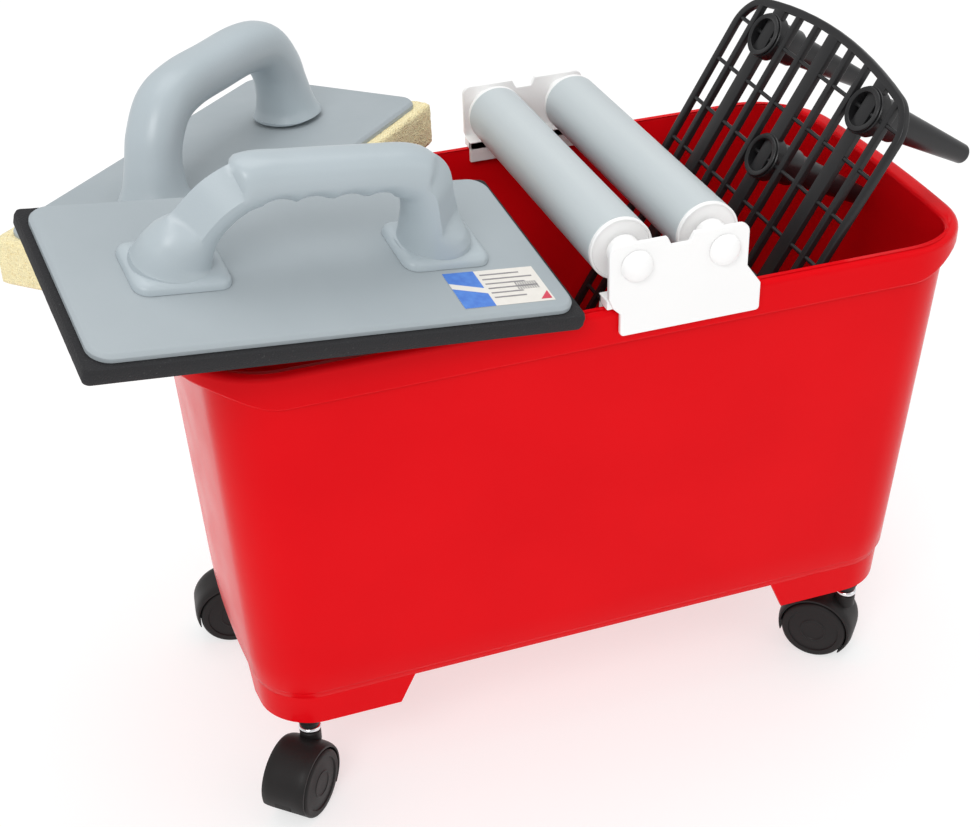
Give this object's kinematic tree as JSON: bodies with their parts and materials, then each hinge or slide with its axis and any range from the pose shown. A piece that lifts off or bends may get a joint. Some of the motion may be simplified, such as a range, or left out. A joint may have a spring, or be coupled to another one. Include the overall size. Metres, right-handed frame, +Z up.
{
  "type": "tiler's wash bucket set",
  "caption": "Red wheeled wash bucket with a clip-on two-roller wringer, a leaning black drain grate on cone legs, and two handled wash floats laid across its rim.",
  "frame": {"origin": "on the floor, under the middle of the set's bounding box", "axes": "+X along the bucket's length, from the floats' end to the grate's end; +Y across it, away from the front; +Z up"},
  "size_m": [0.6486, 0.4484, 0.5018],
  "materials": {
    "red_plastic": "glossy injection-moulded polypropylene",
    "black_plastic": "semi-gloss moulded plastic",
    "white_plastic": "smooth moulded plastic",
    "grey_plastic": "satin moulded or extruded plastic",
    "bright_steel": "bright plated steel",
    "black_foam_rubber": "matte cellular rubber",
    "yellow_sponge": "open-cell sponge"
  },
  "bodies": {
    "bucket": {"bucket": "red_plastic", "caster_front_left_socket": "black_plastic", "caster_front_right_socket": "black_plastic", "caster_back_left_socket": "black_plastic", "caster_back_right_socket": "black_plastic"},
    "wringer": {"wringer_bracket_front": "white_plastic", "wringer_bracket_back": "white_plastic"},
    "roller_left": {"roller_left_tube": "grey_plastic", "roller_left_cap_front": "white_plastic", "roller_left_cap_back": "white_plastic", "roller_left_pin_front": "white_plastic", "roller_left_pin_back": "white_plastic"},
    "roller_right": {"roller_right_tube": "grey_plastic", "roller_right_cap_front": "white_plastic", "roller_right_cap_back": "white_plastic", "roller_right_pin_front": "white_plastic", "roller_right_pin_back": "white_plastic"},
    "grate": {"grate_panel": "black_plastic", "grate_leg_top_left": "black_plastic", "grate_leg_top_right": "black_plastic", "grate_leg_upper_middle": "black_plastic", "grate_leg_lower_middle": "black_plastic", "grate_leg_bottom_left": "black_plastic", "grate_leg_bottom_right": "black_plastic"},
    "front_float": {"front_float_plate": "grey_plastic", "front_float_handle": "grey_plastic", "front_float_rubber_pad": "black_foam_rubber", "front_float_screw_left": "bright_steel", "front_float_screw_right": "bright_steel"},
    "rear_float": {"rear_float_plate": "grey_plastic", "rear_float_handle": "grey_plastic", "rear_float_sponge": "yellow_sponge", "rear_float_screw_left": "bright_steel", "rear_float_screw_right": "bright_steel"},
    "swivel_front_left": {"caster_front_left_stem": "bright_steel", "caster_front_left_hood": "black_plastic", "caster_front_left_axle": "bright_steel"},
    "wheel_front_left_a": {"caster_front_left_wheel_a": "black_plastic"},
    "wheel_front_left_b": {"caster_front_left_wheel_b": "black_plastic"},
    "swivel_front_right": {"caster_front_right_stem": "bright_steel", "caster_front_right_hood": "black_plastic", "caster_front_right_axle": "bright_steel"},
    "wheel_front_right_a": {"caster_front_right_wheel_a": "black_plastic"},
    "wheel_front_right_b": {"caster_front_right_wheel_b": "black_plastic"},
    "swivel_back_left": {"caster_back_left_stem": "bright_steel", "caster_back_left_hood": "black_plastic", "caster_back_left_axle": "bright_steel"},
    "wheel_back_left_a": {"caster_back_left_wheel_a": "black_plastic"},
    "wheel_back_left_b": {"caster_back_left_wheel_b": "black_plastic"},
    "swivel_back_right": {"caster_back_right_stem": "bright_steel", "caster_back_right_hood": "black_plastic", "caster_back_right_axle": "bright_steel"},
    "wheel_back_right_a": {"caster_back_right_wheel_a": "black_plastic"},
    "wheel_back_right_b": {"caster_back_right_wheel_b": "black_plastic"}
  },
  "joints": [
    {"name": "swivel_front_left_turn", "type": "hinge", "parent": "bucket", "child": "swivel_front_left", "pos_m": [-0.18063, -0.12433, 0.05], "axis": [0, 0, 1], "continuous": true},
    {"name": "wheel_front_left_a_spin", "type": "hinge", "parent": "swivel_front_left", "child": "wheel_front_left_a", "pos_m": [-0.19335, -0.13845, 0.025], "axis": [0.7431, -0.6691, 0], "continuous": true},
    {"name": "wheel_front_left_b_spin", "type": "hinge", "parent": "swivel_front_left", "child": "wheel_front_left_b", "pos_m": [-0.19335, -0.13845, 0.025], "axis": [0.7431, -0.6691, 0], "continuous": true},
    {"name": "swivel_front_right_turn", "type": "hinge", "parent": "bucket", "child": "swivel_front_right", "pos_m": [0.24537, -0.12433, 0.05], "axis": [0, 0, 1], "continuous": true},
    {"name": "wheel_front_right_a_spin", "type": "hinge", "parent": "swivel_front_right", "child": "wheel_front_right_a", "pos_m": [0.23125, -0.11162, 0.025], "axis": [-0.6691, -0.7431, 0], "continuous": true},
    {"name": "wheel_front_right_b_spin", "type": "hinge", "parent": "swivel_front_right", "child": "wheel_front_right_b", "pos_m": [0.23125, -0.11162, 0.025], "axis": [-0.6691, -0.7431, 0], "continuous": true},
    {"name": "swivel_back_left_turn", "type": "hinge", "parent": "bucket", "child": "swivel_back_left", "pos_m": [-0.18063, 0.06967, 0.05], "axis": [0, 0, 1], "continuous": true},
    {"name": "wheel_back_left_a_spin", "type": "hinge", "parent": "swivel_back_left", "child": "wheel_back_left_a", "pos_m": [-0.19949, 0.07198, 0.025], "axis": [-0.1219, -0.9925, 0], "continuous": true},
    {"name": "wheel_back_left_b_spin", "type": "hinge", "parent": "swivel_back_left", "child": "wheel_back_left_b", "pos_m": [-0.19949, 0.07198, 0.025], "axis": [-0.1219, -0.9925, 0], "continuous": true},
    {"name": "swivel_back_right_turn", "type": "hinge", "parent": "bucket", "child": "swivel_back_right", "pos_m": [0.24537, 0.06967, 0.05], "axis": [0, 0, 1], "continuous": true},
    {"name": "wheel_back_right_a_spin", "type": "hinge", "parent": "swivel_back_right", "child": "wheel_back_right_a", "pos_m": [0.23645, 0.08644, 0.025], "axis": [-0.8829, -0.4695, 0], "continuous": true},
    {"name": "wheel_back_right_b_spin", "type": "hinge", "parent": "swivel_back_right", "child": "wheel_back_right_b", "pos_m": [0.23645, 0.08644, 0.025], "axis": [-0.8829, -0.4695, 0], "continuous": true},
    {"name": "wringer_lift", "type": "slide", "parent": "bucket", "child": "wringer", "axis": [0, 0, 1], "range_m": [0, 0.08]},
    {"name": "roller_left_spin", "type": "hinge", "parent": "wringer", "child": "roller_left", "pos_m": [0.04217, -0.02733, 0.4008], "axis": [0, 1, 0], "continuous": true},
    {"name": "roller_right_spin", "type": "hinge", "parent": "wringer", "child": "roller_right", "pos_m": [0.10137, -0.02733, 0.4008], "axis": [0, 1, 0], "continuous": true},
    {"name": "grate_lift", "type": "slide", "parent": "bucket", "child": "grate", "axis": [0, 0, 1], "range_m": [0, 0.11]},
    {"name": "front_float_lift", "type": "slide", "parent": "bucket", "child": "front_float", "axis": [0, 0, 1], "range_m": [0, 0.25]},
    {"name": "rear_float_draw", "type": "slide", "parent": "bucket", "child": "rear_float", "axis": [0, 0.9886, 0.1507], "range_m": [0, 0.3]}
  ]
}
